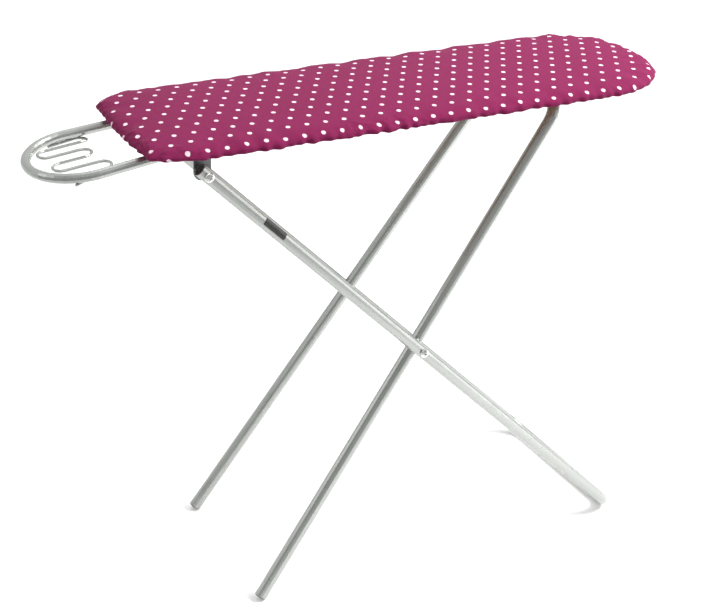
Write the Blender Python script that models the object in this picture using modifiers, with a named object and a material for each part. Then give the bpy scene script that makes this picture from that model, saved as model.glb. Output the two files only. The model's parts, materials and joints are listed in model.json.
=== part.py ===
"""Small folding ironing board with an iron rest, standing open on its scissor legs.

Metres, +Z up, +X towards the nose, origin on the floor under the middle of the whole object.
"""

import math

import bmesh
import bpy
from mathutils import Matrix, Vector

# ---- driving dimensions, in metres -------------------------------------------------------------
GAP = 0.0003                      # between pieces that touch

BOARD_TOP = 0.5470                # top of the cover above the floor
BOARD_REAR_X = -0.2590            # wide end of the cover
BOARD_NOSE_X = 0.3560             # nose of the cover
BOARD_HALF_WIDTH = 0.0925
NOSE_LENGTH = 0.1025              # where the sides begin to close
NOSE_FULLNESS = 2.3               # 2 is an ellipse, more is blunter
REAR_CORNER_LENGTH, REAR_CORNER_DEPTH = 0.055, 0.024     # each corner of the wide end is an oval
REAR_BOW = 0.004                  # how far the wide end bows out
COVER_THICKNESS = 0.0010
COVER_HEIGHT = 0.0162
COVER_EDGE_RADIUS = 0.0050
HEM_WIDTH = 0.0090                # cloth turned under the board
ELASTIC_RADIUS = 0.0008
PANEL_THICKNESS = 0.0040
PANEL_INSET = 0.0045

TUBE_RADIUS = 0.0068              # leg tube, 13.6 mm outside
TUBE_WALL = 0.0010
TUBE_BEND_RADIUS = 0.0250
TUBE_ROUNDNESS = 6                # each step adds two sides to a round bar

HINGE_X, HINGE_Z = -0.2009, 0.5143        # front frame hangs from the brackets here
FRONT_BAR_X = 0.3131                      # floor bar of the front frame
FRONT_HALF_AT_HINGE = 0.0882
FRONT_HALF_AT_FLOOR = 0.1025
FRONT_TUBE_BEYOND_HINGE = 0.0095
FRONT_SKEW = 0.0090               # the far front leg stands this much nearer the wide end

REAR_BAR_X, REAR_BAR_Z = 0.2165, 0.5205   # top bar of the rear frame
REAR_FOOT_X = -0.1420
REAR_HALF_AT_BAR = 0.0615
REAR_HALF_AT_FOOT = 0.0970

REST_TUBE_RADIUS = 0.0050
REST_HALF_AT_BOARD = 0.0490
REST_HEAD_RADIUS = 0.0533
REST_HEAD_X = -0.2977
REST_ARM_INNER_X = -0.1620
REST_BEND_X = -0.2070
REST_DROOP = 0.115                # fall per metre of reach
REST_ELBOW_RADIUS = 0.0600
REST_HEAD_CUT = 7.5               # degrees of the head's half circle left to the arms
SADDLE_X = -0.1840
SADDLE_WIDTH = 0.0120
SADDLE_SHEET = 0.0012
SADDLE_HALF_LENGTH = 0.0135
SADDLE_SCREW_REACH = 0.0098
REST_WIRE_RADIUS = 0.0016
REST_WIRE_PITCH = 0.0185
REST_WIRE_FIRST_Y = 0.0443
REST_WIRE_RIGHT = (0.0120, 0.0045, 0.0120)     # reach of the turns nearest the board
REST_WIRE_LEFT = (0.0262, 0.0225)              # and of the turns away from it
REST_WIRE_RISE = 0.0040           # the turns stand this much higher than the welded ends
REST_WIRE_ENDS = (0.0177, 0.0217)
REST_WIRE_END_Y = 0.0502
REST_WIRE_LEVEL_Y, REST_WIRE_LOW_Y = 0.0330, 0.0460

BOLT_RADIUS = 0.0025
BOLT_HEAD_RADIUS = 0.0050
BOLT_HEAD_HEIGHT = 0.0030
BOLT_RIM = 0.0010                 # straight part of the head below its dome
RECESS_DEPTH = 0.0020
HOLE_CLEARANCE = 0.00047
NUT_RADIUS = 0.0046
NUT_HEIGHT = 0.0040
WASHER_RADIUS = 0.0050
WASHER_THICKNESS = 0.0010
SPACER_LENGTH = 0.0018
BRACKET_WIDTH = 0.0180
BRACKET_SHEET = 0.0020
BRACKET_FLANGE = 0.0240
BRACKET_SCREWS = (0.0085, 0.0185)  # in from the plate
SCREW_RADIUS = 0.0015
SCREW_HEAD_RADIUS = 0.0030
SCREW_HEAD_HEIGHT = 0.0018
CLIP_WIDTH = 0.0120
CLIP_Y = 0.0240
CLIP_PLAY = 0.0004
CLIP_WALL = 0.0022
CLIP_HALF_LENGTH = 0.0170
CLIP_JAW = 48                     # degrees that the jaws reach below the bar's middle
CLIP_SCREW_REACH = 0.0128
OVERLAP = 0.0001                  # how far joined solids run into each other
LABEL_FROM_HINGE = 0.0970
LABEL_LENGTH = 0.0300
LABEL_THICKNESS = 0.0004
LABEL_SPREAD, LABEL_LIFT = 32, 20          # degrees round the tube
PLUG_LENGTH = 0.0120
PLUG_CAP = 0.0012
# The cap of a foot plug: how far each edge lies inside the tube's radius, and its share of the cap.
PLUG_CAP_EDGES = ((0.0002, 0.0), (0.0005, 0.6), (0.0016, 1.0))

# ---- derived places ---------------------------------------------------------------------------
COVER_BOTTOM = BOARD_TOP - COVER_HEIGHT
CAVITY_BOTTOM = COVER_BOTTOM + COVER_THICKNESS
PANEL_BOTTOM = CAVITY_BOTTOM + GAP
PANEL_TOP = PANEL_BOTTOM + PANEL_THICKNESS
UNDER_PANEL = PANEL_BOTTOM - GAP          # what is screwed to the panel lies just below it
SIDES = {"near": -1, "far": 1}
SKEWS = {"near": 0.0, "far": FRONT_SKEW}
HINGES = {side: Vector((HINGE_X - skew, 0.0, HINGE_Z)) for side, skew in SKEWS.items()}
FRONT_BARS = {side: Vector((FRONT_BAR_X - skew, 0.0, TUBE_RADIUS)) for side, skew in SKEWS.items()}
REAR_BAR = Vector((REAR_BAR_X, 0.0, REAR_BAR_Z))
REST_ARM_Z = UNDER_PANEL - REST_TUBE_RADIUS


def rear_foot():
    """The middle of the rear legs' ends, high enough that the plugs' slanted caps only touch the floor."""
    leg = Vector((REAR_BAR_X - REAR_FOOT_X, REAR_HALF_AT_BAR - REAR_HALF_AT_FOOT, REAR_BAR_Z)).normalized()
    level = math.hypot(leg.x, leg.y)
    reach = max((TUBE_RADIUS - inside) * level + (GAP + PLUG_CAP * share) * leg.z
                for inside, share in PLUG_CAP_EDGES)
    return Vector((REAR_FOOT_X, 0.0, reach))


REAR_FOOT = rear_foot()


def crossing(start_a, end_a, start_b, end_b):
    """Where two lines cross when they are looked at along Y."""
    a, b = end_a - start_a, end_b - start_b
    offset = start_b - start_a
    t = (offset.x * b.z - offset.z * b.x) / (a.x * b.z - a.z * b.x)
    return start_a + a * t


PIVOTS = {side: crossing(HINGES[side], FRONT_BARS[side], REAR_FOOT, REAR_BAR) for side in SIDES}


def half_width_at(point, start, end, half_at_start, half_at_end):
    share = (point - start).length / (end - start).length
    return half_at_start + (half_at_end - half_at_start) * share


FRONT_HALF_AT_PIVOT = {
    side: half_width_at(
        PIVOTS[side], HINGES[side], FRONT_BARS[side], FRONT_HALF_AT_HINGE, FRONT_HALF_AT_FLOOR
    )
    for side in SIDES
}
REAR_HALF_AT_PIVOT = {
    side: half_width_at(PIVOTS[side], REAR_FOOT, REAR_BAR, REAR_HALF_AT_FOOT, REAR_HALF_AT_BAR)
    for side in SIDES
}


# ---- scene and collections ---------------------------------------------------------------------
def clear_scene():
    for old in list(bpy.data.objects):
        bpy.data.objects.remove(old, do_unlink=True)


clear_scene()
PARTS = bpy.data.collections.new("folding_ironing_board")
CUTTERS = bpy.data.collections.new("cutters")
for group in (PARTS, CUTTERS):
    bpy.context.scene.collection.children.link(group)


def finish_of(name, colour, roughness, metallic):
    material = bpy.data.materials.new(name)
    material.use_nodes = True
    shader = material.node_tree.nodes["Principled BSDF"]
    shader.inputs["Base Color"].default_value = (*colour, 1.0)
    shader.inputs["Roughness"].default_value = roughness
    shader.inputs["Metallic"].default_value = metallic
    material.diffuse_color = (*colour, 1.0)
    return material


SILVER_PAINT = finish_of("silver_painted_steel", (0.50, 0.51, 0.49), 0.35, 0.7)
ZINC = finish_of("zinc_plated_steel", (0.30, 0.31, 0.32), 0.40, 0.9)
BRIGHT = finish_of("bright_screws", (0.75, 0.75, 0.74), 0.20, 1.0)
CLOTH = finish_of("magenta_cotton", (0.33, 0.04, 0.13), 0.90, 0.0)
FOAM = finish_of("cream_foam", (0.78, 0.74, 0.60), 0.95, 0.0)
HARDBOARD = finish_of("brown_hardboard", (0.22, 0.12, 0.06), 0.75, 0.0)
NYLON = finish_of("grey_nylon", (0.20, 0.20, 0.20), 0.50, 0.0)
ELASTIC = finish_of("white_elastic", (0.80, 0.80, 0.78), 0.90, 0.0)
LABEL = finish_of("dark_label", (0.03, 0.03, 0.03), 0.40, 0.0)


# ---- helpers: curves and meshes ------------------------------------------------------------------
def put(name, data, material, group=PARTS):
    piece = bpy.data.objects.new(name, data)
    group.objects.link(piece)
    if material:
        data.materials.append(material)
    return piece


def as_mesh(piece, plain_faces=False):
    """The same piece as a welded mesh in the same place, so that Booleans can cut it."""
    bpy.context.view_layer.update()
    evaluated = piece.evaluated_get(bpy.context.evaluated_depsgraph_get())
    mesh = bpy.data.meshes.new_from_object(evaluated)
    form = bmesh.new()
    form.from_mesh(mesh)
    bmesh.ops.remove_doubles(form, verts=form.verts, dist=1e-6)
    if plain_faces:
        bmesh.ops.dissolve_limit(form, angle_limit=0.001, verts=form.verts, edges=form.edges)
    bmesh.ops.recalc_face_normals(form, faces=form.faces)
    form.to_mesh(mesh)
    form.free()
    name, place, group = piece.name, piece.matrix_world.copy(), piece.users_collection[0]
    bpy.data.objects.remove(piece, do_unlink=True)
    solid = bpy.data.objects.new(name, mesh)
    group.objects.link(solid)
    solid.matrix_world = place
    return solid


def smooth(piece, degrees=35):
    piece.data.shade_smooth()
    piece.data.set_sharp_from_angle(angle=math.radians(degrees))


def filleted(corners, radius, steps):
    """The polyline through the corners, with each inner corner rounded to the radius."""
    points = [corners[0]]
    for before, corner, after in zip(corners, corners[1:], corners[2:]):
        back, ahead = (before - corner).normalized(), (after - corner).normalized()
        half = back.angle(ahead) / 2
        centre = corner + (back + ahead).normalized() * (radius / math.sin(half))
        first = corner + back * (radius / math.tan(half)) - centre
        last = corner + ahead * (radius / math.tan(half)) - centre
        turn = first.angle(last)
        for step in range(steps + 1):
            share = step / steps
            weight_a = math.sin((1 - share) * turn) / math.sin(turn)
            weight_b = math.sin(share * turn) / math.sin(turn)
            points.append(centre + first * weight_a + last * weight_b)
    points.append(corners[-1])
    return points


def round_bar(name, points, radius, material, resolution=TUBE_ROUNDNESS, group=PARTS):
    """A round bar along the points, with closed ends."""
    curve = bpy.data.curves.new(name, "CURVE")
    curve.dimensions = "3D"
    curve.bevel_depth = radius
    curve.bevel_resolution = resolution
    curve.use_fill_caps = True
    spline = curve.splines.new("POLY")
    spline.points.add(len(points) - 1)
    for control, point in zip(spline.points, points):
        control.co = (*point, 1.0)
    return put(name, curve, material, group)


def flat_solid(name, outlines, thickness, material, edge_radius=0.0, group=PARTS):
    """Closed outlines (the first one outside, the rest holes), thickened about their plane."""
    curve = bpy.data.curves.new(name, "CURVE")
    curve.dimensions = "2D"
    curve.fill_mode = "BOTH"
    curve.extrude = thickness / 2 - edge_radius
    curve.bevel_depth = edge_radius
    curve.bevel_resolution = 2
    curve.offset = -edge_radius
    for outline in outlines:
        spline = curve.splines.new("POLY")
        spline.points.add(len(outline) - 1)
        spline.use_cyclic_u = True
        for control, (x, y) in zip(spline.points, outline):
            control.co = (x, y, 0.0, 1.0)
    return put(name, curve, material, group)


def arc(centre, radius, first, last, steps, radius_y=None):
    """Points of an arc, angles in degrees; with a second radius, of an oval."""
    radius_y = radius_y or radius
    for step in range(steps + 1):
        angle = math.radians(first + (last - first) * step / steps)
        yield centre[0] + radius * math.cos(angle), centre[1] + radius_y * math.sin(angle)


def circle(radius, sides=20):
    return list(arc((0.0, 0.0), radius, 0.0, 360.0 * (1 - 1 / sides), sides - 1))


def ring(name, outer, bore, thickness, material, sides=20):
    return flat_solid(name, [circle(outer, sides), circle(bore)], thickness, material)


def turned(name, profile, material, steps=16):
    """A profile of (radius, height) points, top to bottom, turned about the local Z axis."""
    mesh = bpy.data.meshes.new(name)
    form = bmesh.new()
    corners = [form.verts.new((radius, 0.0, height)) for radius, height in profile]
    for upper, lower in zip(corners, corners[1:]):
        form.edges.new((upper, lower))
    form.to_mesh(mesh)
    form.free()
    piece = put(name, mesh, material)
    turn = piece.modifiers.new("turn", "SCREW")
    turn.axis = "Z"
    turn.steps = turn.render_steps = steps
    turn.use_merge_vertices = True
    turn.merge_threshold = 1e-5
    return piece


def cut(piece, cutter, how="DIFFERENCE"):
    step = piece.modifiers.new(cutter.name, "BOOLEAN")
    step.operation = how
    step.solver = "EXACT"
    step.object = cutter
    cutter.hide_render = True
    cutter.display_type = "WIRE"


def drill(name, place, direction, radius, length):
    """A cutter for a round hole, centred on the place."""
    mesh = bpy.data.meshes.new(name)
    form = bmesh.new()
    bmesh.ops.create_cone(form, cap_ends=True, segments=16, radius1=radius, radius2=radius, depth=length)
    form.to_mesh(mesh)
    form.free()
    cutter = put(name, mesh, None, CUTTERS)
    cutter.matrix_world = Matrix.Translation(place) @ direction.to_track_quat("Z", "Y").to_matrix().to_4x4()
    return cutter


def block(name, low, high, material, group=PARTS):
    mesh = bpy.data.meshes.new(name)
    form = bmesh.new()
    size = Vector(high) - Vector(low)
    bmesh.ops.create_cube(form, size=1.0, matrix=Matrix.Diagonal((*size, 1.0)))
    form.to_mesh(mesh)
    form.free()
    piece = put(name, mesh, material, group)
    piece.location = (Vector(high) + Vector(low)) / 2
    return piece


# Rotations that stand a flat solid or a turned piece up where it belongs.
OUTLINE_IN_XZ = Matrix.Rotation(math.radians(90), 4, "X")
OUTLINE_IN_YZ = Matrix.Rotation(math.radians(90), 4, "Z") @ OUTLINE_IN_XZ
ALONG_Y = Matrix.Rotation(math.radians(-90), 4, "X")
AGAINST_Y = Matrix.Rotation(math.radians(90), 4, "X")
Y_AXIS, Z_AXIS = Vector((0, 1, 0)), Vector((0, 0, 1))


# ---- moving frames: one empty on each joint's axis ---------------------------------------------
def joint_empty(name, place):
    empty = bpy.data.objects.new(name, None)
    empty.empty_display_size = 0.03
    PARTS.objects.link(empty)
    empty.location = place
    return empty


FRONT_JOINT = joint_empty("front_frame_joint", (HINGES["near"] + HINGES["far"]) / 2)
REAR_JOINT = joint_empty("rear_frame_joint", (PIVOTS["near"] + PIVOTS["far"]) / 2)
bpy.context.view_layer.update()


def hang_on(piece, empty):
    bpy.context.view_layer.update()
    place = piece.matrix_world.copy()
    piece.parent = empty
    piece.matrix_parent_inverse = empty.matrix_world.inverted()
    piece.matrix_world = place


# ---- board: panel, pad, cover and elastic --------------------------------------------------------
def board_outline(inset):
    """The board's plan, this far inside the cover's edge: bowed wide end, straight sides, oval nose."""
    half = BOARD_HALF_WIDTH - inset
    rear, nose = BOARD_REAR_X + inset, BOARD_NOSE_X - inset
    length, depth = REAR_CORNER_LENGTH - inset, REAR_CORNER_DEPTH - inset
    nose_start = BOARD_NOSE_X - NOSE_LENGTH
    steps, power = 11, 2 / NOSE_FULLNESS
    points = []
    for step in range(-steps, steps + 1):
        angle = math.radians(90 * abs(step) / steps)
        x = nose_start + (nose - nose_start) * max(math.cos(angle), 0.0) ** power
        points.append((x, math.copysign(half * math.sin(angle) ** power, step)))
    corner_x, corner_y = rear + REAR_BOW + length, half - depth
    points += list(arc((corner_x, corner_y), length, 90, 180, 6, depth))
    for step in range(1, 6):
        y = corner_y * (1 - 2 * step / 6)
        points.append((rear + REAR_BOW * (y / corner_y) ** 2, y))
    points += list(arc((corner_x, -corner_y), length, 180, 270, 6, depth))
    return points


def layer(name, inset, low, high, material, edge_radius=0.0, group=PARTS):
    piece = flat_solid(name, [board_outline(inset)], high - low, material, edge_radius, group)
    piece.location.z = (low + high) / 2
    return as_mesh(piece)


PANEL = layer("board_panel", PANEL_INSET, PANEL_BOTTOM, PANEL_TOP, HARDBOARD)
layer(
    "foam_pad",
    COVER_THICKNESS + GAP,
    PANEL_TOP + GAP,
    BOARD_TOP - COVER_THICKNESS - GAP,
    FOAM,
    COVER_EDGE_RADIUS - COVER_THICKNESS,
)


def make_cover():
    cover = layer("cover", 0.0, COVER_BOTTOM, BOARD_TOP, CLOTH, COVER_EDGE_RADIUS)
    inside = layer(
        "cover_inside",
        COVER_THICKNESS,
        CAVITY_BOTTOM,
        BOARD_TOP - COVER_THICKNESS,
        None,
        COVER_EDGE_RADIUS - COVER_THICKNESS,
        CUTTERS,
    )
    below, above = COVER_BOTTOM - COVER_THICKNESS, CAVITY_BOTTOM + COVER_THICKNESS
    mouth = layer("cover_mouth", HEM_WIDTH, below, above, None, 0.0, CUTTERS)
    cut(cover, inside)
    cut(cover, mouth)
    smooth(cover)
    return cover


def make_elastic():
    inset = HEM_WIDTH + ELASTIC_RADIUS + GAP
    z = UNDER_PANEL - ELASTIC_RADIUS
    loop = [Vector((x, y, z)) for x, y in board_outline(inset)]
    elastic = round_bar("hem_elastic", loop, ELASTIC_RADIUS, ELASTIC, resolution=2)
    elastic.data.splines[0].use_cyclic_u = True


make_cover()
make_elastic()


# ---- screws that hold things to the panel --------------------------------------------------------
def panel_screw(name, x, y, under, through):
    """A pan-head screw up into the panel. Under is the face its head bears on; through lists pieces."""
    tip = PANEL_TOP - GAP - under
    bearing = -GAP
    screw = turned(
        name,
        [
            (0.0, tip),
            (SCREW_RADIUS, tip),
            (SCREW_RADIUS, bearing),
            (SCREW_HEAD_RADIUS, bearing),
            (SCREW_HEAD_RADIUS, bearing - SCREW_HEAD_HEIGHT * 0.4),
            (SCREW_HEAD_RADIUS * 0.7, bearing - SCREW_HEAD_HEIGHT),
            (0.0, bearing - SCREW_HEAD_HEIGHT),
        ],
        BRIGHT,
        steps=12,
    )
    screw.location = (x, y, under)
    hole = drill(f"{name}_hole", Vector((x, y, PANEL_BOTTOM)), Z_AXIS, SCREW_RADIUS + HOLE_CLEARANCE, 0.03)
    for piece in through:
        cut(piece, hole)


# ---- axles: the line that a near and a far bolt share ---------------------------------------------
def beside(point, half_width):
    return point + Y_AXIS * half_width


def axle_through(places, halves):
    """The line through a point at each side, as its middle and its direction from near to far."""
    near, far = (beside(places[side], SIDES[side] * halves[side]) for side in ("near", "far"))
    return (near + far) / 2, (far - near).normalized()


def on_axle(axle, y):
    middle, direction = axle
    return middle + direction * ((y - middle.y) / direction.y)


def tilt_of(axle):
    return Y_AXIS.rotation_difference(axle[1]).to_matrix().to_4x4()


HINGE_AXLE = axle_through(HINGES, dict.fromkeys(SIDES, FRONT_HALF_AT_HINGE))
PIVOT_AXLE = axle_through(
    PIVOTS, {side: (FRONT_HALF_AT_PIVOT[side] + REAR_HALF_AT_PIVOT[side]) / 2 for side in SIDES}
)


# ---- hinge brackets at the wide end --------------------------------------------------------------
def make_bracket(side, sign):
    outer_y = FRONT_HALF_AT_HINGE - TUBE_RADIUS - GAP - WASHER_THICKNESS - GAP
    radius = BRACKET_WIDTH / 2
    hole = on_axle(HINGE_AXLE, sign * (outer_y - BRACKET_SHEET / 2))
    hinge_x = hole.x
    top = UNDER_PANEL - HINGE_Z
    outline = [(radius, top), (-radius, top), *arc((0.0, 0.0), radius, 180, 360, 12)]
    plate = flat_solid(f"bracket_{side}", [outline], BRACKET_SHEET, ZINC)
    plate.matrix_world = (
        Matrix.Translation((hinge_x, sign * (outer_y - BRACKET_SHEET / 2), HINGE_Z)) @ OUTLINE_IN_XZ
    )
    plate = as_mesh(plate, plain_faces=True)
    flange_ends = (sign * (outer_y - OVERLAP), sign * (outer_y - BRACKET_FLANGE))
    flange = block(
        f"bracket_flange_{side}",
        (hinge_x - radius, min(flange_ends), UNDER_PANEL - BRACKET_SHEET),
        (hinge_x + radius, max(flange_ends), UNDER_PANEL - OVERLAP),
        None,
        CUTTERS,
    )
    cut(plate, flange, "UNION")
    cut(plate, drill(f"bracket_hole_{side}", hole, HINGE_AXLE[1],
                     BOLT_RADIUS + HOLE_CLEARANCE, 0.012))
    for number, inward in enumerate(BRACKET_SCREWS, 1):
        y = sign * (outer_y - inward)
        panel_screw(f"bracket_screw_{side}_{number}", hinge_x, y, UNDER_PANEL - BRACKET_SHEET, (plate, PANEL))
    smooth(plate)
    return outer_y


# ---- legs ------------------------------------------------------------------------------------------
def hollow_frame(name, corners, joint, holes):
    """A bent tube through the corners, open at both ends, drilled across at each hole."""
    path = filleted(corners, TUBE_BEND_RADIUS, 6)
    frame = as_mesh(round_bar(name, path, TUBE_RADIUS, SILVER_PAINT))
    first = (path[0] - path[1]).normalized() * TUBE_WALL
    last = (path[-1] - path[-2]).normalized() * TUBE_WALL
    inner = [path[0] + first, *path[1:-1], path[-1] + last]
    bore = as_mesh(round_bar(f"{name}_bore", inner, TUBE_RADIUS - TUBE_WALL, None, TUBE_ROUNDNESS, CUTTERS))
    cut(frame, bore)
    for number, hole in enumerate(holes, 1):
        place, along = hole
        cut(frame, drill(f"{name}_hole_{number}", place, along, BOLT_RADIUS + HOLE_CLEARANCE, 0.02))
    smooth(frame)
    hang_on(frame, joint)
    return frame


def make_front_frame():
    run = FRONT_BARS["near"] - HINGES["near"]
    slope = (FRONT_HALF_AT_FLOOR - FRONT_HALF_AT_HINGE) / run.length
    beyond = run.normalized() * FRONT_TUBE_BEYOND_HINGE
    top_half = FRONT_HALF_AT_HINGE - slope * FRONT_TUBE_BEYOND_HINGE
    corners = [
        beside(HINGES["near"] - beyond, -top_half),
        beside(FRONT_BARS["near"], -FRONT_HALF_AT_FLOOR),
        beside(FRONT_BARS["far"], FRONT_HALF_AT_FLOOR),
        beside(HINGES["far"] - beyond, top_half),
    ]
    holes = []
    for side, sign in SIDES.items():
        holes.append((on_axle(HINGE_AXLE, sign * FRONT_HALF_AT_HINGE), HINGE_AXLE[1]))
        holes.append((on_axle(PIVOT_AXLE, sign * FRONT_HALF_AT_PIVOT[side]), PIVOT_AXLE[1]))
    hollow_frame("front_leg_frame", corners, FRONT_JOINT, holes)


def make_rear_frame():
    corners = [
        beside(REAR_FOOT, -REAR_HALF_AT_FOOT),
        beside(REAR_BAR, -REAR_HALF_AT_BAR),
        beside(REAR_BAR, REAR_HALF_AT_BAR),
        beside(REAR_FOOT, REAR_HALF_AT_FOOT),
    ]
    holes = []
    for side, sign in SIDES.items():
        holes.append((on_axle(PIVOT_AXLE, sign * REAR_HALF_AT_PIVOT[side]), PIVOT_AXLE[1]))
    hollow_frame("rear_leg_frame", corners, REAR_JOINT, holes)
    for side, sign in SIDES.items():
        make_foot_plug(side, sign)


def make_foot_plug(side, sign):
    """A plug in the end of a rear leg: a stem inside the tube and a thin cap over its cut end."""
    foot = beside(REAR_FOOT, sign * REAR_HALF_AT_FOOT)
    leg = (beside(REAR_BAR, sign * REAR_HALF_AT_BAR) - foot).normalized()
    stem = TUBE_RADIUS - TUBE_WALL - GAP
    cap = [(TUBE_RADIUS - inside, -GAP - PLUG_CAP * share) for inside, share in PLUG_CAP_EDGES]
    chamfer = GAP
    plug = turned(
        f"foot_plug_{side}",
        [
            (0.0, PLUG_LENGTH),
            (stem - chamfer, PLUG_LENGTH),
            (stem, PLUG_LENGTH - chamfer),
            (stem, -GAP),
            *cap,
            (0.0, cap[-1][1]),
        ],
        NYLON,
    )
    plug.matrix_world = Matrix.Translation(foot) @ leg.to_track_quat("Z", "Y").to_matrix().to_4x4()
    hang_on(plug, REAR_JOINT)


# ---- bolts through the legs ----------------------------------------------------------------------
def across(sign):
    """The rotation that points a turned piece from its side towards the middle."""
    return ALONG_Y if sign < 0 else AGAINST_Y


def make_bolt(name, axle, sign, head_at, length):
    """A pan-head bolt with a cross recess. Its head bears on the tube at this half width."""
    dome = [
        (BOLT_HEAD_RADIUS * math.cos(a), -BOLT_RIM - (BOLT_HEAD_HEIGHT - BOLT_RIM) * math.sin(a))
        for a in (math.radians(90 * step / 4) for step in range(4))
    ]
    long, narrow = BOLT_HEAD_RADIUS * 0.52, BOLT_HEAD_RADIUS * 0.12
    profile = [(0.0, length), (BOLT_RADIUS, length), (BOLT_RADIUS, 0.0), (BOLT_HEAD_RADIUS, 0.0)]
    bolt = turned(name, [*profile, *dome, (0.0, -BOLT_HEAD_HEIGHT)], BRIGHT)
    bolt.matrix_world = Matrix.Translation(on_axle(axle, sign * head_at)) @ tilt_of(axle) @ across(sign)
    for number, turn in enumerate((20.0, 110.0), 1):
        low, high = (-long, -narrow, -RECESS_DEPTH), (long, narrow, RECESS_DEPTH)
        arm = block(f"{name}_recess_{number}", low, high, None, CUTTERS)
        arm.matrix_world = (
            bolt.matrix_world
            @ Matrix.Translation((0.0, 0.0, -BOLT_HEAD_HEIGHT))
            @ Matrix.Rotation(math.radians(turn), 4, "Z")
        )
        cut(bolt, arm)
    smooth(bolt)
    hang_on(bolt, FRONT_JOINT)


def make_ring_on_axis(name, axle, sign, middle, outer, thickness, material, sides=20):
    piece = ring(name, outer, BOLT_RADIUS + HOLE_CLEARANCE, thickness, material, sides)
    piece.matrix_world = Matrix.Translation(on_axle(axle, sign * middle)) @ tilt_of(axle) @ across(sign)
    piece = as_mesh(piece)
    smooth(piece)
    hang_on(piece, FRONT_JOINT)


def make_hinge_hardware(side, sign, bracket_outer_y):
    head_at = FRONT_HALF_AT_HINGE + TUBE_RADIUS + GAP
    nut_middle = bracket_outer_y - BRACKET_SHEET - GAP - NUT_HEIGHT / 2
    length = head_at - nut_middle + NUT_HEIGHT / 2 + BOLT_RIM
    washer_middle = bracket_outer_y + GAP + WASHER_THICKNESS / 2
    make_bolt(f"hinge_bolt_{side}", HINGE_AXLE, sign, head_at, length)
    washer, nut = f"hinge_washer_{side}", f"hinge_nut_{side}"
    make_ring_on_axis(washer, HINGE_AXLE, sign, washer_middle, WASHER_RADIUS, WASHER_THICKNESS, ZINC)
    make_ring_on_axis(nut, HINGE_AXLE, sign, nut_middle, NUT_RADIUS, NUT_HEIGHT, ZINC, sides=6)


def make_pivot_hardware(side, sign):
    front_half, rear_half = FRONT_HALF_AT_PIVOT[side], REAR_HALF_AT_PIVOT[side]
    head_at = front_half + TUBE_RADIUS + GAP
    spacer_middle = (front_half + rear_half) / 2
    nut_middle = rear_half - TUBE_RADIUS - 2 * GAP - NUT_HEIGHT / 2
    length = head_at - nut_middle + NUT_HEIGHT / 2 + BOLT_RIM
    make_bolt(f"pivot_bolt_{side}", PIVOT_AXLE, sign, head_at, length)
    spacer, nut = f"pivot_spacer_{side}", f"pivot_nut_{side}"
    make_ring_on_axis(spacer, PIVOT_AXLE, sign, spacer_middle, WASHER_RADIUS, SPACER_LENGTH, NYLON)
    make_ring_on_axis(nut, PIVOT_AXLE, sign, nut_middle, NUT_RADIUS, NUT_HEIGHT, ZINC, sides=6)


def make_label():
    """A blank dark plate curved round the near front leg, a little below the hinge."""
    hinge = beside(HINGES["near"], -FRONT_HALF_AT_HINGE)
    run = beside(FRONT_BARS["near"], -FRONT_HALF_AT_FLOOR) - hinge
    centre = hinge + run.normalized() * LABEL_FROM_HINGE
    inner, outer = TUBE_RADIUS + GAP, TUBE_RADIUS + GAP + LABEL_THICKNESS
    first, last = LABEL_LIFT - LABEL_SPREAD, LABEL_LIFT + LABEL_SPREAD
    outline = [*arc((0, 0), outer, first, last, 6), *arc((0, 0), inner, last, first, 6)]
    plate = flat_solid("leg_label", [outline], LABEL_LENGTH, LABEL)
    upward = run.cross(Y_AXIS).normalized()
    outward = run.normalized().cross(upward)
    frame = Matrix((outward, upward, outward.cross(upward))).transposed().to_4x4()
    plate.matrix_world = Matrix.Translation(centre) @ frame
    plate = as_mesh(plate)
    smooth(plate)
    hang_on(plate, FRONT_JOINT)


# ---- snap clips that hold the rear frame's top bar ---------------------------------------------
def make_clip(side, sign):
    bore = TUBE_RADIUS + CLIP_PLAY
    top = UNDER_PANEL - REAR_BAR_Z
    flange_low = top - CLIP_WALL
    body, flange = bore + CLIP_WALL, CLIP_HALF_LENGTH
    thin_edge = flange_low + GAP
    outline = [(-flange, top), (-flange, thin_edge), (-body, flange_low)]
    outline += list(arc((0, 0), body, 180, 180 + CLIP_JAW, 4))
    outline += list(arc((0, 0), bore, 180 + CLIP_JAW, -CLIP_JAW, 14))
    outline += list(arc((0, 0), body, -CLIP_JAW, 0, 4))
    outline += [(body, flange_low), (flange, thin_edge), (flange, top)]
    clip = flat_solid(f"crossbar_clip_{side}", [outline], CLIP_WIDTH, NYLON)
    clip.matrix_world = Matrix.Translation((REAR_BAR_X, sign * CLIP_Y, REAR_BAR_Z)) @ OUTLINE_IN_XZ
    clip = as_mesh(clip, plain_faces=True)
    smooth(clip)
    for number, reach in enumerate((-CLIP_SCREW_REACH, CLIP_SCREW_REACH), 1):
        panel_screw(
            f"clip_screw_{side}_{number}",
            REAR_BAR_X + reach,
            sign * CLIP_Y,
            REAR_BAR_Z + flange_low,
            (clip, PANEL),
        )


# ---- iron rest ------------------------------------------------------------------------------------
def rest_height(x):
    return REST_ARM_Z - REST_DROOP * max(REST_BEND_X - x, 0.0)


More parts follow.
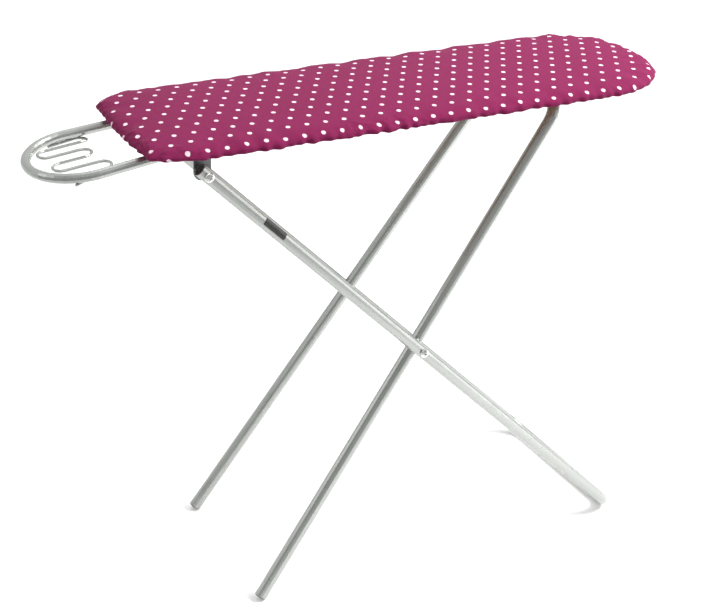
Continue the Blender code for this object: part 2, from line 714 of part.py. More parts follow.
def make_rest_tube():
    """One horseshoe tube: two arms under the board and a round head beyond the wide end."""
    def arm(sign):
        return [
            Vector((REST_ARM_INNER_X, sign * REST_HALF_AT_BOARD, REST_ARM_Z)),
            Vector((REST_BEND_X, sign * REST_HALF_AT_BOARD, REST_ARM_Z)),
            Vector((REST_HEAD_X, sign * REST_HEAD_RADIUS, rest_height(REST_HEAD_X))),
        ]

    head = []
    first, last = 90 + REST_HEAD_CUT, 270 - REST_HEAD_CUT
    for x, y in arc((REST_HEAD_X, 0.0), REST_HEAD_RADIUS, first, last, 18):
        head.append(Vector((x, y, rest_height(x))))
    near, far = (filleted(arm(sign), REST_ELBOW_RADIUS, 2) for sign in (-1, 1))
    tube = as_mesh(round_bar("iron_rest_tube", far + head + near[::-1], REST_TUBE_RADIUS, SILVER_PAINT, 4))
    smooth(tube)


def wire_rise(y):
    share = (REST_WIRE_LOW_Y - abs(y)) / (REST_WIRE_LOW_Y - REST_WIRE_LEVEL_Y)
    return REST_WIRE_RISE * min(max(share, 0.0), 1.0)


def make_rest_wire():
    """A serpentine wire welded under the head: straight runs joined by half circles."""
    bend = REST_WIRE_PITCH / 2
    drop = REST_TUBE_RADIUS + REST_WIRE_RADIUS + GAP
    right = [REST_HEAD_X + reach for reach in REST_WIRE_RIGHT]
    left = [REST_HEAD_X - reach for reach in REST_WIRE_LEFT]
    start, end = (REST_HEAD_X - reach for reach in REST_WIRE_ENDS)
    plan = [(start, REST_WIRE_END_Y)]
    for turn in range(5):
        y = REST_WIRE_FIRST_Y - turn * REST_WIRE_PITCH
        if turn % 2 == 0:
            plan += arc((right[turn // 2], y), bend, 90, -90, 6)
        else:
            plan += arc((left[turn // 2], y), bend, 90, 270, 6)
    plan.append((end, -REST_WIRE_END_Y))
    path = [Vector((x, y, rest_height(x) - drop + wire_rise(y))) for x, y in plan]
    wire = as_mesh(round_bar("iron_rest_wire", path, REST_WIRE_RADIUS, SILVER_PAINT, 2))
    smooth(wire, 60)


def make_saddle(side, sign):
    """A strap over one arm of the iron rest, screwed up to the panel on both sides."""
    inner, outer, flange = REST_TUBE_RADIUS + GAP, REST_TUBE_RADIUS + GAP + SADDLE_SHEET, SADDLE_HALF_LENGTH
    top = UNDER_PANEL - REST_ARM_Z
    low = top - SADDLE_SHEET
    outline = [(flange, top), (inner, top), *arc((0, 0), inner, 0, -180, 10), (-inner, top)]
    outline += [(-flange, top), (-flange, low), (-outer, low), *arc((0, 0), outer, 180, 360, 10)]
    outline += [(outer, low), (flange, low)]
    saddle = flat_solid(f"rest_saddle_{side}", [outline], SADDLE_WIDTH, ZINC)
    y = sign * REST_HALF_AT_BOARD
    saddle.matrix_world = Matrix.Translation((SADDLE_X, y, REST_ARM_Z)) @ OUTLINE_IN_YZ
    saddle = as_mesh(saddle, plain_faces=True)
    smooth(saddle)
    for number, reach in enumerate((-SADDLE_SCREW_REACH, SADDLE_SCREW_REACH), 1):
        panel_screw(f"rest_screw_{side}_{number}", SADDLE_X, y + reach, REST_ARM_Z + low, (saddle, PANEL))


# ---- assembly -------------------------------------------------------------------------------------
make_front_frame()
make_rear_frame()
make_rest_tube()
make_rest_wire()
make_label()
for side_name, side_sign in SIDES.items():
    bracket_y = make_bracket(side_name, side_sign)
    make_hinge_hardware(side_name, side_sign, bracket_y)
    make_pivot_hardware(side_name, side_sign)
    make_clip(side_name, side_sign)
    make_saddle(side_name, side_sign)
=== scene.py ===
"""Looks of the small folding ironing board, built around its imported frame.

Metres, +Z up, +X towards the nose. A sheet of cloth and a crowned core of foam take the places of
the cover and the pad. Everything else is a carried-over CAD piece with a procedural finish.
"""

import json
import math

import bmesh
import bpy
import numpy as np
from mathutils import Matrix, Quaternion, Vector


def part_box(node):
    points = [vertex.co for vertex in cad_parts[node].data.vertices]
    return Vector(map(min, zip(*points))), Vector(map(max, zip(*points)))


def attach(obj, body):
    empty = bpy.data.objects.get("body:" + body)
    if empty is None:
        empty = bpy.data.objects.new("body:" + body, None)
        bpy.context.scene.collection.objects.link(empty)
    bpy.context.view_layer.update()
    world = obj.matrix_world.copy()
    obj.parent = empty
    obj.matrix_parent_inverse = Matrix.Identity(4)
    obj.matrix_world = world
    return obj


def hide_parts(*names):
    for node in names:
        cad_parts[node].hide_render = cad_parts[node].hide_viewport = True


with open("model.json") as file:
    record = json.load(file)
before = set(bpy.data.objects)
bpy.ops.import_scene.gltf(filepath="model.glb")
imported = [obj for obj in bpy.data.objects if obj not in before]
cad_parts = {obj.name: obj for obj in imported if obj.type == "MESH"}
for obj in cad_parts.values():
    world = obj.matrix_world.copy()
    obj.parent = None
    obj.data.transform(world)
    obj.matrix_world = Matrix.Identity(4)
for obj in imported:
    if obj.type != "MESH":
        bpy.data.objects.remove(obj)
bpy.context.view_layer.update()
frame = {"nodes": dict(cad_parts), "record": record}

# ---- sizes, in metres ----------------------------------------------------------------------------
COVER_LOW, COVER_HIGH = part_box("cover")
PANEL_TOP_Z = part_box("board_panel")[1].z
REAR_X, NOSE_X = COVER_LOW.x, COVER_HIGH.x
HALF_WIDTH = COVER_HIGH.y
TOP_Z, HEM_Z = COVER_HIGH.z, COVER_LOW.z

NOSE_LENGTH = 0.1025              # where the sides begin to close
NOSE_FULLNESS = 2.3               # 2 is an ellipse, more is blunter
REAR_CORNER_LENGTH, REAR_CORNER_DEPTH = 0.055, 0.024     # each corner of the wide end is an oval
REAR_BOW = 0.004                  # how far the wide end bows out

COLUMNS = 640                     # of cloth, round the board
CROWN_LOW, CROWN_HIGH = 0.0036, 0.0026     # fall of the top from its middle to its edge
SHOULDER_WIDTH, SHOULDER_FALL = 0.0150, 0.0052
UNDER_WIDTH, UNDER_HEIGHT = 0.0058, 0.0042      # where the cloth turns under the board
CORNER_UNDER_WIDTH, CORNER_UNDER_HEIGHT = 0.0085, 0.0060     # the same at the wide end's corners
CORNER_FROM_END = (0.085, 0.030)          # distances between which that takes over, from the wide end
CORNER_FROM_MIDDLE = (0.030, 0.062)       # and from the board's middle line
HEM_REACH = 0.0120                # cloth under the board, from its edge
CLOTH_THICKNESS = 0.0005
PAD_GAP, PAD_EDGE_GAP = 0.0020, 0.0042      # cloth to pad, on top and round the lower edge
PAD_COLUMNS = 200
CLEARANCE = 0.0003

# The folds. Each pair of distances along the cloth to the hem says where a fold begins and is full.
PLEAT_DEPTH, PLEAT_TO_HEM = 0.0013, (0.026, 0.008)
SCALLOP_DEPTH, SCALLOP_TO_HEM = 0.0008, (0.024, 0.010)
RIPPLE_DEPTH, RIPPLE_TO_HEM = 0.0008, (0.055, 0.022)
EDGE_TO_HEM = (0.022, 0.012)      # folds lift the cloth beyond the first, push it out within the second
PLEAT_SHARPNESS = 0.8             # 1 is a smooth wave, less is fuller
FULLNESS, BEND_FULLNESS, NEAR_FULLNESS = 0.8, 0.3, 0.45      # everywhere, at bends, on the near side
NEAR_SIDE = (0.03, 0.08)          # distances from the middle line between which the near side begins
BEND_COLUMNS = 25                 # the bend of the edge is averaged over this many columns,
FULL_BEND_PERCENTILE = 92         # and counts as full from this percentile of it
NOSE_CALM, NOSE_CALM_LENGTH = 0.55, (0.14, 0.03)             # folds shrink by this share at the nose

SIM_SCALE = 10.0                  # the cloth is simulated this much larger, for finer contacts
SIM_CLEARANCE = 0.0003
SIM_GROWTH = 0.020                # share by which the loose cloth is longer than its place
SIM_FRAMES = 24
SIM_LIMIT = 0.0009                # the furthest that a point may move
SIM_HELD_TOP = (0.024, 0.050)     # to the hem: the cloth is held still from here inwards
SIM_HELD_HEM = (0.0035, 0.0005)   # and at the elastic
SIM_LOOSE = (0.034, 0.014)        # and the loose cloth lies here

DOT_PITCH = 0.0205
DOT_RADIUS = 0.00236
DOT_ORIGIN = (0.0465, -0.0179)    # the middle of one dot, on the flat cloth
DOT_FEATHER = 0.16                # share of the radius over which its edge fades
DOT_WOBBLE = 0.0005               # unevenness of the print
THREAD_PITCH = 0.00042

LENS_MM = 90.02                   # on a sensor 36 mm wide
EYE = Vector((-0.80115, -1.57302, 1.20623))
EYE_AZIMUTH, EYE_PITCH, EYE_ROLL = 27.495, -27.485, -2.311     # degrees; azimuth 0 looks along +Y

# The studio is white behind and overhead, and darker in one fixed direction.
DARK_SIDE = (-0.462, -0.887, 0.0)
DARK_EDGES = (0.05, 0.50)         # share of a direction that points there: the dark begins, is full
PAPER_EDGES = (0.34, 0.55)        # metres towards it: the white paper begins to end, has ended
SKY = (0.80, 0.42)                # brightness of the white and of the dark
PAPER = (0.90, 0.58)              # the same of the paper
PAPER_GLOW = 0.16                 # light that the white paper gives off
PAPER_HALF_WIDTH = 12.0
PAPER_DROP = 0.0002               # it lies this far under the object
LIGHTS = {                        # place, point aimed at, width and height, watts
    "key": ((1.35, -0.6, 1.8), (0.1, 0.0, 0.3), (1.0, 0.8), 62.0),
    "left_box": ((-2.0, 0.3, 1.3), (0.0, 0.0, 0.3), (0.5, 0.9), 3.6),
    "right_box": ((2.0, -0.8, 0.5), (0.0, 0.0, 0.3), (0.45, 0.8), 2.8),
    "top": ((-0.2, 0.3, 2.8), (0.0, 0.0, 0.3), (2.2, 1.2), 20.0),
}
SHARP_ANGLE = 38                  # degrees; CAD edges below it are shaded smooth


# ---- small helpers -------------------------------------------------------------------------------
def put(name, mesh, material=None):
    piece = bpy.data.objects.new(name, mesh)
    bpy.context.scene.collection.objects.link(piece)
    if material:
        mesh.materials.clear()
        mesh.materials.append(material)
    return piece


def share(value, low, high):
    """0 up to low, 1 from high, and a smooth step between them."""
    t = np.clip((value - low) / (high - low), 0.0, 1.0)
    return t * t * (3 - 2 * t)


def within(distance, none, full):
    """0 from the first distance outwards, 1 within the second, and a smooth step between them."""
    return share(-distance, -none, -full)


# ---- material building ---------------------------------------------------------------------------
class Finish:
    """A material whose nodes are added one by one."""

    def __init__(self, name):
        self.material = bpy.data.materials.new(name)
        self.material.use_nodes = True
        self.tree = self.material.node_tree
        self.shader = self.tree.nodes["Principled BSDF"]

    def fixed(self, values):
        for key, value in values.items():
            self.shader.inputs[key].default_value = value
        return self

    def node(self, kind, inputs=None, **properties):
        made = self.tree.nodes.new(kind)
        for key, value in properties.items():
            setattr(made, key, value)
        for key, value in (inputs or {}).items():
            self.feed(made.inputs[key], value)
        return made

    def feed(self, socket, value):
        if isinstance(value, bpy.types.NodeSocket):
            self.tree.links.new(value, socket)
        else:
            socket.default_value = value

    def math(self, how, a, b=0.0):
        return self.node("ShaderNodeMath", {0: a, 1: b}, operation=how).outputs[0]

    def vector(self, how, a, b=(0.0, 0.0, 0.0)):
        made = self.node("ShaderNodeVectorMath", {0: a, 1: b}, operation=how)
        return made.outputs["Value" if how in ("LENGTH", "DOT_PRODUCT") else "Vector"]

    def scaled(self, a, factor):
        made = self.node("ShaderNodeVectorMath", {0: a, "Scale": factor}, operation="SCALE")
        return made.outputs["Vector"]

    def place(self):
        return self.node("ShaderNodeTexCoord").outputs["Object"]

    def noise(self, where, scale, detail=2.0, rough=0.5):
        inputs = {"Vector": where, "Scale": scale, "Detail": detail, "Roughness": rough}
        return self.node("ShaderNodeTexNoise", inputs).outputs["Fac"]

    def stretch(self, value, low, high, out_low, out_high):
        made = self.node(
            "ShaderNodeMapRange",
            {"Value": value, "From Min": low, "From Max": high, "To Min": out_low, "To Max": out_high},
        )
        made.interpolation_type = "SMOOTHSTEP"
        return made.outputs["Result"]

    def mix(self, factor, a, b):
        made = self.node("ShaderNodeMix", data_type="RGBA")
        self.feed(made.inputs["Factor"], factor)
        self.feed(made.inputs[6], a)
        self.feed(made.inputs[7], b)
        return made.outputs[2]

    def bump(self, height, distance, strength=1.0, under=None):
        inputs = {"Height": height, "Distance": distance, "Strength": strength}
        if under:
            inputs["Normal"] = under
        return self.node("ShaderNodeBump", inputs).outputs["Normal"]

    def link(self, name, value):
        self.tree.links.new(value, self.shader.inputs[name])
        return self


# ---- materials -----------------------------------------------------------------------------------
def silver_paint():
    """Satin silver paint: fine flake and slightly uneven gloss."""
    f = Finish("silver_paint").fixed({"Metallic": 0.80})
    tint = (0.44, 0.455, 0.435)
    where = f.place()
    flake = f.noise(where, 2600.0, 2.0)
    broad = f.noise(where, 60.0, 3.0)
    dark = tuple(c * 0.90 for c in tint)
    f.link("Base Color", f.mix(f.stretch(flake, 0.3, 0.7, 0.0, 1.0), (*dark, 1.0), (*tint, 1.0)))
    f.link("Roughness", f.stretch(broad, 0.3, 0.7, 0.26, 0.33))
    f.link("Normal", f.bump(flake, 0.00002, 0.25))
    return f.material


def zinc_plate():
    f = Finish("zinc_plate").fixed({"Metallic": 0.9})
    where = f.place()
    patch = f.noise(where, 240.0, 4.0, 0.6)
    f.link("Base Color", f.mix(patch, (0.13, 0.135, 0.14, 1.0), (0.26, 0.265, 0.27, 1.0)))
    f.link("Roughness", f.stretch(patch, 0.3, 0.7, 0.34, 0.5))
    return f.material


def bright_plate():
    f = Finish("bright_plate").fixed({"Metallic": 1.0})
    where = f.place()
    swirl = f.noise(where, 900.0, 3.0)
    f.link("Base Color", f.mix(swirl, (0.62, 0.63, 0.62, 1.0), (0.80, 0.80, 0.79, 1.0)))
    f.link("Roughness", f.stretch(swirl, 0.3, 0.7, 0.16, 0.26))
    return f.material


def moulded_nylon():
    f = Finish("moulded_nylon")
    grain = f.noise(f.place(), 1500.0, 2.0)
    f.link("Base Color", f.mix(grain, (0.15, 0.15, 0.15, 1.0), (0.24, 0.24, 0.24, 1.0)))
    f.link("Roughness", f.stretch(grain, 0.3, 0.7, 0.42, 0.58))
    f.link("Normal", f.bump(grain, 0.00005, 0.4))
    return f.material


def dark_label():
    f = Finish("dark_label").fixed({"Coat Weight": 0.4, "Coat Roughness": 0.2})
    cloud = f.noise(f.place(), 300.0, 3.0)
    f.link("Base Color", f.mix(cloud, (0.006, 0.006, 0.005, 1.0), (0.022, 0.020, 0.014, 1.0)))
    f.link("Roughness", f.stretch(cloud, 0.3, 0.7, 0.30, 0.42))
    return f.material


def hardboard():
    """Brown pressed fibre, with the woven imprint of its rough face."""
    f = Finish("hardboard").fixed({"Roughness": 0.8})
    where = f.place()
    fibre = f.noise(f.vector("MULTIPLY", where, (240.0, 900.0, 500.0)), 1.0, 4.0, 0.6)
    cloud = f.noise(where, 22.0, 3.0)
    brown = f.mix(fibre, (0.13, 0.066, 0.032, 1.0), (0.27, 0.155, 0.080, 1.0))
    f.link("Base Color", f.mix(f.stretch(cloud, 0.3, 0.7, 0.0, 0.45), brown, (0.16, 0.085, 0.045, 1.0)))
    f.link("Normal", f.bump(fibre, 0.0003, 0.6))
    return f.material


def foam():
    f = Finish("foam").fixed({"Roughness": 0.95})
    cells = f.noise(f.place(), 1400.0, 3.0, 0.7)
    f.link("Base Color", f.mix(cells, (0.62, 0.57, 0.42, 1.0), (0.85, 0.81, 0.68, 1.0)))
    f.link("Normal", f.bump(cells, 0.0005, 0.8))
    return f.material


def elastic_cord():
    f = Finish("elastic_cord").fixed({"Roughness": 0.85})
    rib = f.noise(f.vector("MULTIPLY", f.place(), (900.0, 900.0, 300.0)), 1.0, 2.0)
    f.link("Base Color", f.mix(rib, (0.55, 0.55, 0.53, 1.0), (0.85, 0.85, 0.82, 1.0)))
    f.link("Normal", f.bump(rib, 0.0003, 0.7))
    return f.material


def dotted_cotton():
    """Magenta plain-weave cotton with white dots in staggered rows, laid out on the flat cloth."""
    f = Finish("dotted_cotton").fixed(
        {"Sheen Weight": 0.05, "Sheen Roughness": 0.45, "Sheen Tint": (1.0, 0.75, 0.88, 1.0),
         "Specular IOR Level": 0.18}
    )
    flat = f.node("ShaderNodeUVMap", uv_map="flat").outputs["UV"]
    where = f.place()

    cell = (DOT_PITCH, DOT_PITCH * math.sqrt(3), 1.0)
    uneven = f.node("ShaderNodeTexNoise", {"Vector": flat, "Scale": 420.0}).outputs["Color"]
    wobble = f.scaled(uneven, DOT_WOBBLE)
    nearest = []
    for shift in ((0.0, 0.0, 0.0), (DOT_PITCH / 2, DOT_PITCH * math.sqrt(3) / 2, 0.0)):
        start = (DOT_ORIGIN[0] + shift[0], DOT_ORIGIN[1] + shift[1], 0.0)
        local = f.vector("SUBTRACT", f.vector("ADD", flat, wobble), start)
        turns = f.vector("ADD", f.vector("DIVIDE", local, cell), (0.5, 0.5, 0.0))
        inside = f.vector("SUBTRACT", f.vector("FRACTION", turns), (0.5, 0.5, 0.0))
        level = f.vector("MULTIPLY", f.vector("MULTIPLY", inside, cell), (1.0, 1.0, 0.0))
        nearest.append(f.vector("LENGTH", level))
    apart = f.math("MINIMUM", nearest[0], nearest[1])
    feather = DOT_RADIUS * DOT_FEATHER
    dot = f.stretch(apart, DOT_RADIUS - feather, DOT_RADIUS + feather, 1.0, 0.0)

    thread = f.scaled(flat, 2 * math.pi / THREAD_PITCH)
    along = f.node("ShaderNodeSeparateXYZ", {"Vector": thread}).outputs
    weave = f.math("MULTIPLY", f.math("SINE", along["X"]), f.math("SINE", along["Y"]))
    slub = f.noise(f.vector("MULTIPLY", flat, (900.0, 260.0, 1.0)), 1.0, 3.0, 0.6)
    mottle = f.noise(where, 380.0, 4.0, 0.65)
    broad = f.noise(where, 14.0, 2.0)

    threads = f.stretch(slub, 0.25, 0.75, 0.0, 1.0)
    cloth = f.mix(threads, (0.142, 0.0040, 0.047, 1.0), (0.190, 0.0075, 0.065, 1.0))
    cloth = f.mix(f.stretch(mottle, 0.3, 0.7, 0.0, 0.30), cloth, (0.228, 0.0135, 0.084, 1.0))
    cloth = f.mix(f.stretch(broad, 0.3, 0.7, 0.0, 0.35), cloth, (0.150, 0.0058, 0.048, 1.0))
    worn = f.stretch(mottle, 0.3, 0.7, 0.0, 1.0)
    print_white = f.mix(worn, (0.74, 0.52, 0.62, 1.0), (0.86, 0.74, 0.79, 1.0))
    f.link("Base Color", f.mix(dot, cloth, print_white))
    f.link("Roughness", f.stretch(slub, 0.2, 0.8, 0.78, 0.92))
    fuzz = f.bump(mottle, 0.0004, 0.35)
    f.link("Normal", f.bump(weave, 0.00006, 0.5, fuzz))
    return f.material


# ---- the board's plan ----------------------------------------------------------------------------
def wide_corner():
    """From the end of the straight side round one corner to the wide end's middle."""
    centre_x, centre_y = REAR_X + REAR_BOW + REAR_CORNER_LENGTH, HALF_WIDTH - REAR_CORNER_DEPTH
    turn = np.radians(np.linspace(90, 180, 90))
    oval = np.column_stack((REAR_CORNER_LENGTH * np.cos(turn), REAR_CORNER_DEPTH * np.sin(turn)))
    y = np.linspace(centre_y, 0, 60)
    end = np.column_stack((REAR_X + REAR_BOW * (y / centre_y) ** 2, y))
    return np.vstack((oval + (centre_x, centre_y), end))


def board_plan(columns):
    """Evenly spaced points round the cover's plan, from the nose's middle through the far side."""
    power, nose_start = 2 / NOSE_FULLNESS, NOSE_X - NOSE_LENGTH
    turn = np.radians(np.linspace(0, 90, 400))
    x = nose_start + NOSE_LENGTH * np.clip(np.cos(turn), 0, 1) ** power
    nose = np.column_stack((x, HALF_WIDTH * np.sin(turn) ** power))
    far = np.vstack((nose, wide_corner()))
    near = far * (1, -1)
    loop = np.vstack((far, near[::-1][1:]))
    along = np.concatenate(([0], np.cumsum(np.linalg.norm(np.diff(loop, axis=0), axis=1))))
    even = np.linspace(0, along[-1], columns, endpoint=False)
    return np.column_stack([np.interp(even, along, loop[:, axis]) for axis in (0, 1)])


def wide_corner_share(edge):
    """1 at the two corners of the wide end, fading to 0 along the sides and the end."""
    near_end = within(edge[:, 0], *(REAR_X + distance for distance in CORNER_FROM_END))
    return near_end * share(np.abs(edge[:, 1]), *CORNER_FROM_MIDDLE)


def spine_of(edge):
    """The point of the board's middle line that each edge point's column starts from."""
    x = np.clip(edge[:, 0], REAR_X + HALF_WIDTH, NOSE_X - NOSE_LENGTH)
    return np.column_stack((x, np.zeros(len(edge))))


def crowned_height(q, reach):
    """Height of the top at share q of the way from the spine to an edge that is this far away."""
    fall = CROWN_LOW * q ** 2 + CROWN_HIGH * q ** 4
    into = np.clip(1 - (1 - q) * reach / SHOULDER_WIDTH, 0, 1)
    return TOP_Z - fall - SHOULDER_FALL * (1 - np.sqrt(np.clip(1 - into ** 2, 0, 1)))


# Rings of the sheet: shares of the way to the edge on the flat of the top, then steps of each curve.
TOP_STATIONS = (0.0, 0.14, 0.27, 0.39, 0.50, 0.60, 0.68, 0.75, 0.805)
SHOULDER_STEPS, UNDER_STEPS, HEM_STEPS = 9, 6, 5


def profile(reach, corner=0.0):
    """(share of the way out, height) down a column of cloth, from the spine to the hem's inner edge."""
    width = UNDER_WIDTH + (CORNER_UNDER_WIDTH - UNDER_WIDTH) * corner
    height = UNDER_HEIGHT + (CORNER_UNDER_HEIGHT - UNDER_HEIGHT) * corner
    line = [(q, float(crowned_height(np.float64(q), reach))) for q in TOP_STATIONS]
    start = TOP_STATIONS[-1]
    for step in range(1, SHOULDER_STEPS + 1):
        q = start + (1 - start) * math.sin(math.radians(90 * step / SHOULDER_STEPS))
        line.append((q, float(crowned_height(np.float64(q), reach))))
    for step in range(1, UNDER_STEPS + 1):
        angle = math.radians(90 * step / UNDER_STEPS)
        back = width * (1 - math.cos(angle))
        line.append((1.0 - back / reach, HEM_Z + height * (1 - math.sin(angle))))
    for step in range(1, HEM_STEPS + 1):
        back = width + (HEM_REACH - width) * step / HEM_STEPS
        line.append((1.0 - back / reach, HEM_Z))
    return np.array(line)


# ---- folds of the gathered cloth -----------------------------------------------------------------
def waves(columns, low, high, seed, count=26):
    """A smooth random wave round the loop, between low and high turns, mostly within 1 of nought."""
    draw = np.random.default_rng(seed)
    turn = np.linspace(0, 2 * math.pi, columns, endpoint=False)
    total = np.zeros(columns)
    for _ in range(count):
        height, turns = draw.uniform(0.4, 1.0), draw.integers(low, high)
        start = draw.uniform(0, 2 * math.pi)
        total += height * np.sin(turns * turn + start)
    return total / (1.5 * np.sqrt((total ** 2).mean()))


def cloth_sheet():
    """The cover's points by column and ring, the same laid flat, and the cloth left before the hem."""
    edge = board_plan(COLUMNS)
    spine = spine_of(edge)
    reach = np.linalg.norm(edge - spine, axis=1)
    outward = (edge - spine) / reach[:, None]
    tangent = np.roll(edge, -1, axis=0) - np.roll(edge, 1, axis=0)
    normal = np.column_stack((tangent[:, 1], -tangent[:, 0]))
    normal /= np.linalg.norm(normal, axis=1)[:, None]
    normal *= np.sign((normal * outward).sum(axis=1))[:, None]

    corner = wide_corner_share(edge)
    # By column and ring: the share of the way out and the height.
    lines = np.array([profile(*pair) for pair in zip(reach, corner)])
    rings = lines.shape[1]
    plan = spine[:, None, :] + outward[:, None, :] * (lines[:, :, :1] * reach[:, None, None])
    steps = np.diff(np.dstack((lines[:, :, 0] * reach[:, None], lines[:, :, 1])), axis=1)
    run = np.cumsum(np.linalg.norm(steps, axis=2), axis=1)
    down = np.concatenate((np.zeros((COLUMNS, 1)), run), axis=1)
    flat = spine[:, None, :] + outward[:, None, :] * down[:, :, None]
    to_hem = down[:, -1:] - down

    bend = np.abs(np.gradient(np.unwrap(np.arctan2(normal[:, 1], normal[:, 0]))))
    spread = np.ones(BEND_COLUMNS) / BEND_COLUMNS
    bend = np.convolve(np.tile(bend, 3), spread, "same")[COLUMNS:2 * COLUMNS]
    bent = share(bend, 0.0, np.percentile(bend, FULL_BEND_PERCENTILE))
    fullness = FULLNESS + BEND_FULLNESS * bent + NEAR_FULLNESS * share(-edge[:, 1], *NEAR_SIDE)
    fullness *= 1 - NOSE_CALM * share(edge[:, 0], *(NOSE_X - length for length in NOSE_CALM_LENGTH))
    fine = waves(COLUMNS, 64, 160, seed=11)
    pleat = np.sign(fine) * np.abs(fine) ** PLEAT_SHARPNESS
    scallop = waves(COLUMNS, 14, 44, seed=5)
    push = PLEAT_DEPTH * within(to_hem, *PLEAT_TO_HEM) * fullness[:, None] * (pleat[:, None] + 1.0)
    push = push + SCALLOP_DEPTH * within(to_hem, *SCALLOP_TO_HEM) * (scallop * fullness)[:, None]
    ripple = waves(COLUMNS, 16, 60, seed=21)[:, None] * RIPPLE_DEPTH * within(to_hem, *RIPPLE_TO_HEM)
    outwards, upwards = within(to_hem, *EDGE_TO_HEM), share(to_hem, *reversed(EDGE_TO_HEM))

    points = np.zeros((COLUMNS, rings, 3))
    points[:, :, :2] = plan + normal[:, None, :] * (push * outwards)[:, :, None]
    points[:, :, 2] = lines[:, :, 1] + (push + ripple) * upwards
    return points, flat, to_hem


def grid_faces(columns, rings):
    for column in range(columns):
        here, beyond = column * rings, (column + 1) % columns * rings
        for ring in range(rings - 1):
            yield here + ring, here + ring + 1, beyond + ring + 1, beyond + ring


def sheet_object(name, points, flat, material):
    columns, rings = points.shape[:2]
    mesh = bpy.data.meshes.new(name)
    mesh.from_pydata(points.reshape(-1, 3).tolist(), [], list(grid_faces(columns, rings)))
    layer = mesh.uv_layers.new(name="flat")
    where = np.zeros(len(mesh.loops), np.int32)
    mesh.loops.foreach_get("vertex_index", where)
    layer.data.foreach_set("uv", flat.reshape(-1, 2)[where].astype(np.float32).ravel())
    mesh.shade_smooth()
    return put(name, mesh, material)


def weld_spine(piece):
    """Joins the first points of the columns, and drops the faces that are left without area."""
    form = bmesh.new()
    form.from_mesh(piece.data)
    bmesh.ops.remove_doubles(form, verts=form.verts, dist=1e-6)
    bmesh.ops.dissolve_degenerate(form, edges=form.edges, dist=1e-7)
    bmesh.ops.recalc_face_normals(form, faces=form.faces)
    form.to_mesh(piece.data)
    form.free()


# ---- cloth simulation ----------------------------------------------------------------------------
def collide(name, mesh):
    """A copy of a solid, in simulation size, that the cloth can't pass through."""
    body = put(name, mesh.copy())
    body.data.transform(Matrix.Scale(SIM_SCALE, 4))
    body.modifiers.new("collision", "COLLISION")
    body.collision.thickness_outer = SIM_CLEARANCE * SIM_SCALE
    body.collision.cloth_friction = 8.0
    return body


def add_group(piece, name, weights):
    group = piece.vertex_groups.new(name=name)
    for index, weight in enumerate(weights.ravel().tolist()):
        if weight > 0:
            group.add([index], weight, "REPLACE")
    return name


def drape(points, to_hem, solids):
    """The sheet's points after a short simulation of its loose edge, none moved beyond SIM_LIMIT."""
    columns, rings = points.shape[:2]
    mesh = bpy.data.meshes.new("cloth_sim")
    mesh.from_pydata((points.reshape(-1, 3) * SIM_SCALE).tolist(), [], list(grid_faces(columns, rings)))
    sheet = put("cloth_sim", mesh)
    held = np.maximum(share(to_hem, *SIM_HELD_TOP), within(to_hem, *SIM_HELD_HEM))
    loose = within(to_hem, *SIM_LOOSE)
    cloth = sheet.modifiers.new("cloth", "CLOTH")
    rules = cloth.settings
    rules.quality = 6
    rules.mass = 0.15
    rules.tension_stiffness = rules.compression_stiffness = 25.0
    rules.shear_stiffness = 8.0
    rules.bending_stiffness = 2.5
    rules.tension_damping = rules.compression_damping = rules.shear_damping = 8.0
    rules.air_damping = 3.0
    rules.vertex_group_mass = add_group(sheet, "held", held)
    rules.pin_stiffness = 8.0
    rules.vertex_group_shrink = add_group(sheet, "loose", loose)
    rules.shrink_min, rules.shrink_max = 0.0, -SIM_GROWTH
    rules.effector_weights.gravity = 0.0
    cloth.collision_settings.distance_min = SIM_CLEARANCE * SIM_SCALE
    cloth.collision_settings.collision_quality = 3
    cloth.point_cache.frame_end = SIM_FRAMES
    bodies = [collide(f"{solid.name}_sim", solid.data) for solid in solids]
    for step in range(1, SIM_FRAMES + 1):
        bpy.context.scene.frame_set(step)
    shaped = sheet.evaluated_get(bpy.context.evaluated_depsgraph_get()).to_mesh()
    result = np.zeros(columns * rings * 3)
    shaped.vertices.foreach_get("co", result)
    moved = result.reshape(points.shape) / SIM_SCALE - points
    far = np.linalg.norm(moved, axis=2, keepdims=True)
    moved *= np.minimum(1.0, SIM_LIMIT / np.maximum(far, 1e-9))
    bpy.context.scene.frame_set(1)
    for helper in [sheet, *bodies]:
        bpy.data.objects.remove(helper)
    return points + moved


def make_pad(material):
    """The foam under the cloth: crowned on top, flat on the panel."""
    edge = board_plan(PAD_COLUMNS)
    spine = spine_of(edge)
    reach = np.linalg.norm(edge - spine, axis=1)
    outward = (edge - spine) / reach[:, None]
    bottom = PANEL_TOP_Z + CLEARANCE
    stations = len(TOP_STATIONS) + SHOULDER_STEPS
    columns = []
    for start, away, far in zip(spine, outward, reach):
        upper = [(q * (far - PAD_GAP), z - PAD_GAP) for q, z in profile(far)[:stations]]
        middle = ((far - PAD_GAP + far - PAD_EDGE_GAP) / 2, (upper[-1][1] + bottom) / 2)
        line = [*upper, middle, (far - PAD_EDGE_GAP, bottom), (0.0, bottom)]
        columns.append([(*(start + away * out), z) for out, z in line])
    points = np.array(columns)
    pad = sheet_object("foam_core", points, points[:, :, :2], material)
    weld_spine(pad)
    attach(pad, "board")
    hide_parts("foam_pad")
    return pad


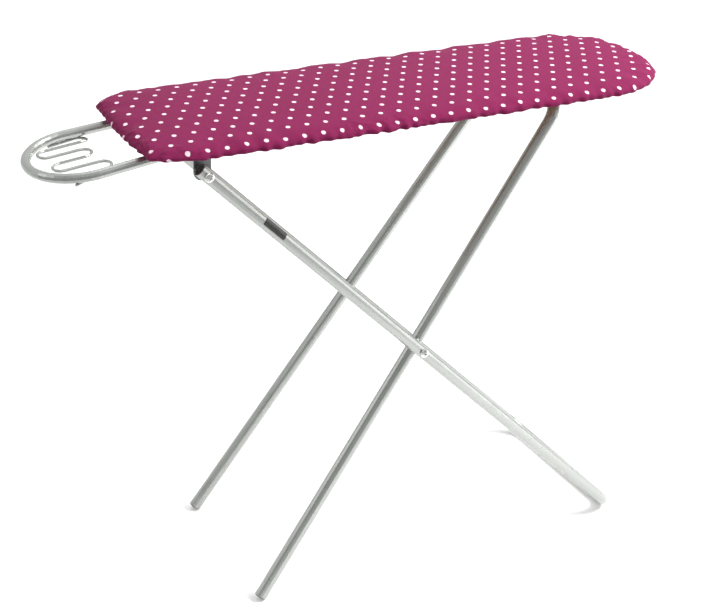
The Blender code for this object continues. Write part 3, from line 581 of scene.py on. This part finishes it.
def make_cover(material, pad):
    points, flat, to_hem = cloth_sheet()
    points = drape(points, to_hem, [pad, frame["nodes"]["board_panel"]])
    cover = sheet_object("cloth_cover", points, flat, material)
    weld_spine(cover)
    finer = cover.modifiers.new("finer_cloth", "SUBSURF")
    finer.levels = finer.render_levels = 1
    solid = cover.modifiers.new("cloth_thickness", "SOLIDIFY")
    solid.thickness = CLOTH_THICKNESS
    solid.offset = -1.0
    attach(cover, "board")
    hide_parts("cover")
    return cover


# ---- carried-over CAD pieces ---------------------------------------------------------------------
def dress_frame(finishes):
    slots = {row["node"]: row["material_slot"] for row in frame["record"]["subparts"]}
    for name, piece in frame["nodes"].items():
        piece.data.materials.clear()
        piece.data.materials.append(finishes[slots[name]])
        piece.data.shade_smooth()
        piece.data.set_sharp_from_angle(angle=math.radians(SHARP_ANGLE))


# ---- studio --------------------------------------------------------------------------------------
def make_floor():
    mesh = bpy.data.meshes.new("floor")
    form = bmesh.new()
    bmesh.ops.create_grid(form, x_segments=1, y_segments=1, size=PAPER_HALF_WIDTH)
    form.to_mesh(mesh)
    form.free()
    f = Finish("paper_floor").fixed({"Roughness": 0.9, "Emission Color": (1.0, 1.0, 1.0, 1.0)})
    towards = f.vector("DOT_PRODUCT", f.place(), DARK_SIDE)
    grey = f.stretch(towards, *PAPER_EDGES, *PAPER)
    f.link("Base Color", f.node("ShaderNodeCombineColor", {0: grey, 1: grey, 2: grey}).outputs[0])
    f.link("Emission Strength", f.stretch(towards, *PAPER_EDGES, PAPER_GLOW, 0.0))
    floor = put("floor", mesh, f.material)
    floor.location.z = -PAPER_DROP


def area_light(name, place, target, size, power):
    data = bpy.data.lights.new(name, "AREA")
    data.shape = "RECTANGLE"
    data.size, data.size_y = size
    data.energy = power
    light = bpy.data.objects.new(name, data)
    bpy.context.scene.collection.objects.link(light)
    light.location = place
    light.rotation_euler = (Vector(target) - Vector(place)).to_track_quat("-Z", "Y").to_euler()


def make_light():
    world = bpy.data.worlds.new("studio")
    bpy.context.scene.world = world
    world.use_nodes = True
    tree = world.node_tree
    sky = tree.nodes["Background"]
    towards = tree.nodes.new("ShaderNodeVectorMath")
    towards.operation = "DOT_PRODUCT"
    towards.inputs[1].default_value = DARK_SIDE
    tree.links.new(tree.nodes.new("ShaderNodeTexCoord").outputs["Generated"], towards.inputs[0])
    fade = tree.nodes.new("ShaderNodeMapRange")
    fade.interpolation_type = "SMOOTHSTEP"
    for key, value in zip(("From Min", "From Max", "To Min", "To Max"), (*DARK_EDGES, *SKY)):
        fade.inputs[key].default_value = value
    tree.links.new(towards.outputs["Value"], fade.inputs["Value"])
    tree.links.new(fade.outputs["Result"], sky.inputs["Color"])
    sky.inputs["Strength"].default_value = 1.0
    for name, light in LIGHTS.items():
        area_light(name, *light)


def make_camera():
    data = bpy.data.cameras.new("camera")
    data.sensor_width = 36.0
    data.lens = LENS_MM
    camera = bpy.data.objects.new("camera", data)
    bpy.context.scene.collection.objects.link(camera)
    azimuth, pitch = math.radians(EYE_AZIMUTH), math.radians(EYE_PITCH)
    level = math.cos(pitch)
    ahead = Vector((math.sin(azimuth) * level, math.cos(azimuth) * level, math.sin(pitch)))
    roll = Quaternion(ahead, math.radians(EYE_ROLL))
    turn = (roll @ ahead.to_track_quat("-Z", "Y")).to_matrix().to_4x4()
    camera.matrix_world = Matrix.Translation(EYE) @ turn
    bpy.context.scene.camera = camera


# ---- assembly ------------------------------------------------------------------------------------
FINISHES = {
    "silver_painted_steel": silver_paint(),
    "zinc_plated_steel": zinc_plate(),
    "bright_screws": bright_plate(),
    "magenta_cotton": dotted_cotton(),
    "cream_foam": foam(),
    "brown_hardboard": hardboard(),
    "grey_nylon": moulded_nylon(),
    "white_elastic": elastic_cord(),
    "dark_label": dark_label(),
}

bpy.context.scene.view_settings.view_transform = "Standard"
make_camera()
make_light()
make_floor()
dress_frame(FINISHES)
make_cover(FINISHES["magenta_cotton"], make_pad(FINISHES["cream_foam"]))
